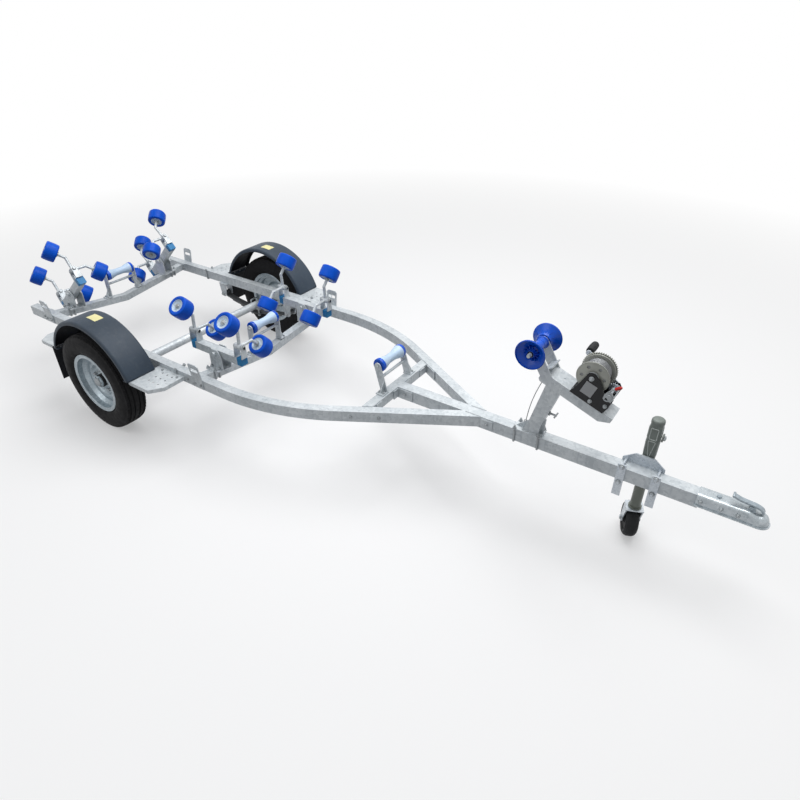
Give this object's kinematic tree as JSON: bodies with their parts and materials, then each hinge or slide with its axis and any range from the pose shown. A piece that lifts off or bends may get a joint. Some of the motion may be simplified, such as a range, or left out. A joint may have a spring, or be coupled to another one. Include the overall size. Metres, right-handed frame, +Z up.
{
  "type": "boat trailer",
  "caption": "Single-axle galvanised boat trailer with rocking roller cradles, keel rollers, winch post with bow roller, jockey wheel, mudguards and ball coupling.",
  "frame": {"origin": "middle of the bounding box, on the floor under the trailer", "axes": "+X forward towards the coupling, +Y to the left, +Z up"},
  "size_m": [4.5525, 1.6, 0.969],
  "materials": {
    "galvanised_steel": "hot-dip galvanised",
    "zinc_plate": "bright zinc plated",
    "rim_zinc": "galvanised pressed steel",
    "spring_steel": "coated spring steel",
    "guard_plastic": "grained moulded plastic",
    "black_paint": "satin black paint",
    "wire": "steel wire",
    "jack_paint": "grey painted aluminium",
    "drum_steel": "zinc plated",
    "crank_zinc": "zinc plated with a dark grip",
    "blue_rubber": "moulded blue polyurethane",
    "pale_roller": "moulded pale polyurethane",
    "tyre_rubber": "rubber",
    "jockey_rubber": "solid rubber"
  },
  "bodies": {
    "trailer": {"side_rails": "galvanised_steel", "crossmembers": "galvanised_steel", "drawbar": "galvanised_steel", "coupling": "zinc_plate", "axle": "galvanised_steel", "leaf_springs": "spring_steel", "spring_hangers": "galvanised_steel", "mudguards": "guard_plastic", "step_plates": "galvanised_steel", "tie_down_plates": "galvanised_steel", "beam_brackets": "galvanised_steel", "keel_brackets": "galvanised_steel", "winch_post": "galvanised_steel", "winch_frame": "black_paint", "winch_cable": "wire", "jack_bracket": "zinc_plate", "jack_housing": "jack_paint"},
    "wheel_left": {"tyre_left": "tyre_rubber", "rim_left": "rim_zinc"},
    "wheel_right": {"tyre_right": "tyre_rubber", "rim_right": "rim_zinc"},
    "jack_leg": {"jack_leg": "zinc_plate"},
    "jockey_fork": {"jockey_fork": "zinc_plate"},
    "jockey_wheel": {"jockey_wheel": "jockey_rubber"},
    "winch_drum": {"winch_drum": "drum_steel"},
    "winch_crank": {"winch_crank": "crank_zinc"},
    "bow_roller": {"bow_roller": "blue_rubber"},
    "keel_roller_rear": {"keel_roller_rear": "pale_roller"},
    "keel_roller_mid": {"keel_roller_mid": "pale_roller"},
    "keel_roller_front": {"keel_roller_front": "pale_roller"},
    "beam_mid_left": {"beam_mid_left": "galvanised_steel"},
    "arm_mid_left_front": {"arm_mid_left_front": "galvanised_steel"},
    "roller_mid_left_front_out": {"roller_mid_left_front_out": "blue_rubber"},
    "roller_mid_left_front_in": {"roller_mid_left_front_in": "blue_rubber"},
    "arm_mid_left_back": {"arm_mid_left_back": "galvanised_steel"},
    "roller_mid_left_back_out": {"roller_mid_left_back_out": "blue_rubber"},
    "roller_mid_left_back_in": {"roller_mid_left_back_in": "blue_rubber"},
    "beam_mid_right": {"beam_mid_right": "galvanised_steel"},
    "arm_mid_right_front": {"arm_mid_right_front": "galvanised_steel"},
    "roller_mid_right_front_out": {"roller_mid_right_front_out": "blue_rubber"},
    "roller_mid_right_front_in": {"roller_mid_right_front_in": "blue_rubber"},
    "arm_mid_right_back": {"arm_mid_right_back": "galvanised_steel"},
    "roller_mid_right_back_out": {"roller_mid_right_back_out": "blue_rubber"},
    "roller_mid_right_back_in": {"roller_mid_right_back_in": "blue_rubber"},
    "beam_rear_left": {"beam_rear_left": "galvanised_steel"},
    "arm_rear_left_front": {"arm_rear_left_front": "galvanised_steel"},
    "roller_rear_left_front_out": {"roller_rear_left_front_out": "blue_rubber"},
    "roller_rear_left_front_in": {"roller_rear_left_front_in": "blue_rubber"},
    "arm_rear_left_back": {"arm_rear_left_back": "galvanised_steel"},
    "roller_rear_left_back_out": {"roller_rear_left_back_out": "blue_rubber"},
    "roller_rear_left_back_in": {"roller_rear_left_back_in": "blue_rubber"},
    "beam_rear_right": {"beam_rear_right": "galvanised_steel"},
    "arm_rear_right_front": {"arm_rear_right_front": "galvanised_steel"},
    "roller_rear_right_front_out": {"roller_rear_right_front_out": "blue_rubber"},
    "roller_rear_right_front_in": {"roller_rear_right_front_in": "blue_rubber"},
    "arm_rear_right_back": {"arm_rear_right_back": "galvanised_steel"},
    "roller_rear_right_back_out": {"roller_rear_right_back_out": "blue_rubber"},
    "roller_rear_right_back_in": {"roller_rear_right_back_in": "blue_rubber"}
  },
  "joints": [
    {"name": "wheel_left_spin", "type": "hinge", "parent": "trailer", "child": "wheel_left", "pos_m": [-1.12374, 0.725, 0.298], "axis": [0, 1, 0], "continuous": true},
    {"name": "wheel_right_spin", "type": "hinge", "parent": "trailer", "child": "wheel_right", "pos_m": [-1.12374, -0.725, 0.298], "axis": [0, 1, 0], "continuous": true},
    {"name": "jack_extend", "type": "slide", "parent": "trailer", "child": "jack_leg", "axis": [0, 0, 1], "range_m": [-0.06, 0.15]},
    {"name": "jockey_swivel", "type": "hinge", "parent": "jack_leg", "child": "jockey_fork", "pos_m": [1.76426, 0.069, 0.184], "axis": [0, 0, 1], "continuous": true},
    {"name": "jockey_spin", "type": "hinge", "parent": "jockey_fork", "child": "jockey_wheel", "pos_m": [1.75452, 0.09311, 0.085], "axis": [-0.9272, -0.3746, 0], "continuous": true},
    {"name": "winch_drum_spin", "type": "hinge", "parent": "trailer", "child": "winch_drum", "pos_m": [1.48983, 0, 0.85313], "axis": [0, 1, 0], "continuous": true},
    {"name": "winch_crank_spin", "type": "hinge", "parent": "trailer", "child": "winch_crank", "pos_m": [1.5649, 0, 0.78361], "axis": [0, 1, 0], "continuous": true},
    {"name": "bow_roller_spin", "type": "hinge", "parent": "trailer", "child": "bow_roller", "pos_m": [1.22626, 0, 0.9], "axis": [0, 1, 0], "continuous": true},
    {"name": "keel_roller_rear_spin", "type": "hinge", "parent": "trailer", "child": "keel_roller_rear", "pos_m": [-1.92374, 0, 0.55], "axis": [0, 1, 0], "continuous": true},
    {"name": "keel_roller_mid_spin", "type": "hinge", "parent": "trailer", "child": "keel_roller_mid", "pos_m": [-0.49874, 0, 0.542], "axis": [0, 1, 0], "continuous": true},
    {"name": "keel_roller_front_spin", "type": "hinge", "parent": "trailer", "child": "keel_roller_front", "pos_m": [0.43126, 0, 0.59], "axis": [0, 1, 0], "continuous": true},
    {"name": "beam_mid_left_rock", "type": "hinge", "parent": "trailer", "child": "beam_mid_left", "pos_m": [-0.49074, 0.36, 0.51], "axis": [0, 1, 0], "range_deg": [-18, 18]},
    {"name": "arm_mid_left_front_rock", "type": "hinge", "parent": "beam_mid_left", "child": "arm_mid_left_front", "pos_m": [-0.31074, 0.36, 0.595], "axis": [1, 0, 0], "range_deg": [-45, 0]},
    {"name": "roller_mid_left_front_out_spin", "type": "hinge", "parent": "arm_mid_left_front", "child": "roller_mid_left_front_out", "pos_m": [-0.31074, 0.41476, 0.74903], "axis": [0, 0.682, 0.7314], "continuous": true},
    {"name": "roller_mid_left_front_in_spin", "type": "hinge", "parent": "arm_mid_left_front", "child": "roller_mid_left_front_in", "pos_m": [-0.31074, 0.21016, 0.52963], "axis": [0, 0.682, 0.7314], "continuous": true},
    {"name": "arm_mid_left_back_rock", "type": "hinge", "parent": "beam_mid_left", "child": "arm_mid_left_back", "pos_m": [-0.67074, 0.36, 0.595], "axis": [1, 0, 0], "range_deg": [-45, 0]},
    {"name": "roller_mid_left_back_out_spin", "type": "hinge", "parent": "arm_mid_left_back", "child": "roller_mid_left_back_out", "pos_m": [-0.67074, 0.41476, 0.74903], "axis": [0, 0.682, 0.7314], "continuous": true},
    {"name": "roller_mid_left_back_in_spin", "type": "hinge", "parent": "arm_mid_left_back", "child": "roller_mid_left_back_in", "pos_m": [-0.67074, 0.21016, 0.52963], "axis": [0, 0.682, 0.7314], "continuous": true},
    {"name": "beam_mid_right_rock", "type": "hinge", "parent": "trailer", "child": "beam_mid_right", "pos_m": [-0.49074, -0.36, 0.51], "axis": [0, 1, 0], "range_deg": [-18, 18]},
    {"name": "arm_mid_right_front_rock", "type": "hinge", "parent": "beam_mid_right", "child": "arm_mid_right_front", "pos_m": [-0.31074, -0.36, 0.595], "axis": [1, 0, 0], "range_deg": [0, 45]},
    {"name": "roller_mid_right_front_out_spin", "type": "hinge", "parent": "arm_mid_right_front", "child": "roller_mid_right_front_out", "pos_m": [-0.31074, -0.41476, 0.74903], "axis": [0, -0.682, 0.7314], "continuous": true},
    {"name": "roller_mid_right_front_in_spin", "type": "hinge", "parent": "arm_mid_right_front", "child": "roller_mid_right_front_in", "pos_m": [-0.31074, -0.21016, 0.52963], "axis": [0, -0.682, 0.7314], "continuous": true},
    {"name": "arm_mid_right_back_rock", "type": "hinge", "parent": "beam_mid_right", "child": "arm_mid_right_back", "pos_m": [-0.67074, -0.36, 0.595], "axis": [1, 0, 0], "range_deg": [0, 45]},
    {"name": "roller_mid_right_back_out_spin", "type": "hinge", "parent": "arm_mid_right_back", "child": "roller_mid_right_back_out", "pos_m": [-0.67074, -0.41476, 0.74903], "axis": [0, -0.682, 0.7314], "continuous": true},
    {"name": "roller_mid_right_back_in_spin", "type": "hinge", "parent": "arm_mid_right_back", "child": "roller_mid_right_back_in", "pos_m": [-0.67074, -0.21016, 0.52963], "axis": [0, -0.682, 0.7314], "continuous": true},
    {"name": "beam_rear_left_rock", "type": "hinge", "parent": "trailer", "child": "beam_rear_left", "pos_m": [-1.91474, 0.36, 0.52], "axis": [0, 1, 0], "range_deg": [0, 49]},
    {"name": "arm_rear_left_front_rock", "type": "hinge", "parent": "beam_rear_left", "child": "arm_rear_left_front", "pos_m": [-1.84106, 0.36, 0.70492], "axis": [0.7314, 0, 0.682], "range_deg": [-45, 0]},
    {"name": "roller_rear_left_front_out_spin", "type": "hinge", "parent": "arm_rear_left_front", "child": "roller_rear_left_front_out", "pos_m": [-1.94611, 0.41476, 0.81758], "axis": [-0.4988, 0.682, 0.5349], "continuous": true},
    {"name": "roller_rear_left_front_in_spin", "type": "hinge", "parent": "arm_rear_left_front", "child": "roller_rear_left_front_in", "pos_m": [-1.79648, 0.21016, 0.65711], "axis": [-0.4988, 0.682, 0.5349], "continuous": true},
    {"name": "arm_rear_left_back_rock", "type": "hinge", "parent": "beam_rear_left", "child": "arm_rear_left_back", "pos_m": [-2.10435, 0.36, 0.45941], "axis": [0.7314, 0, 0.682], "range_deg": [-45, 0]},
    {"name": "roller_rear_left_back_out_spin", "type": "hinge", "parent": "arm_rear_left_back", "child": "roller_rear_left_back_out", "pos_m": [-2.2094, 0.41476, 0.57206], "axis": [-0.4988, 0.682, 0.5349], "continuous": true},
    {"name": "roller_rear_left_back_in_spin", "type": "hinge", "parent": "arm_rear_left_back", "child": "roller_rear_left_back_in", "pos_m": [-2.05977, 0.21016, 0.41159], "axis": [-0.4988, 0.682, 0.5349], "continuous": true},
    {"name": "beam_rear_right_rock", "type": "hinge", "parent": "trailer", "child": "beam_rear_right", "pos_m": [-1.91474, -0.36, 0.52], "axis": [0, 1, 0], "range_deg": [0, 45]},
    {"name": "arm_rear_right_front_rock", "type": "hinge", "parent": "beam_rear_right", "child": "arm_rear_right_front", "pos_m": [-1.82834, -0.36, 0.69934], "axis": [0.7771, 0, 0.6293], "range_deg": [0, 45]},
    {"name": "roller_rear_right_front_out_spin", "type": "hinge", "parent": "arm_rear_right_front", "child": "roller_rear_right_front_out", "pos_m": [-1.92528, -0.41476, 0.81904], "axis": [-0.4603, -0.682, 0.5684], "continuous": true},
    {"name": "roller_rear_right_front_in_spin", "type": "hinge", "parent": "arm_rear_right_front", "child": "roller_rear_right_front_in", "pos_m": [-1.7872, -0.21016, 0.64853], "axis": [-0.4603, -0.682, 0.5684], "continuous": true},
    {"name": "arm_rear_right_back_rock", "type": "hinge", "parent": "beam_rear_right", "child": "arm_rear_right_back", "pos_m": [-2.10812, -0.36, 0.47278], "axis": [0.7771, 0, 0.6293], "range_deg": [0, 45]},
    {"name": "roller_rear_right_back_out_spin", "type": "hinge", "parent": "arm_rear_right_back", "child": "roller_rear_right_back_out", "pos_m": [-2.20505, -0.41476, 0.59249], "axis": [-0.4603, -0.682, 0.5684], "continuous": true},
    {"name": "roller_rear_right_back_in_spin", "type": "hinge", "parent": "arm_rear_right_back", "child": "roller_rear_right_back_in", "pos_m": [-2.06698, -0.21016, 0.42198], "axis": [-0.4603, -0.682, 0.5684], "continuous": true}
  ],
  "couplings": [
    {"joint": "winch_crank_spin", "follows": "winch_drum_spin", "ratio": -3.2}
  ]
}
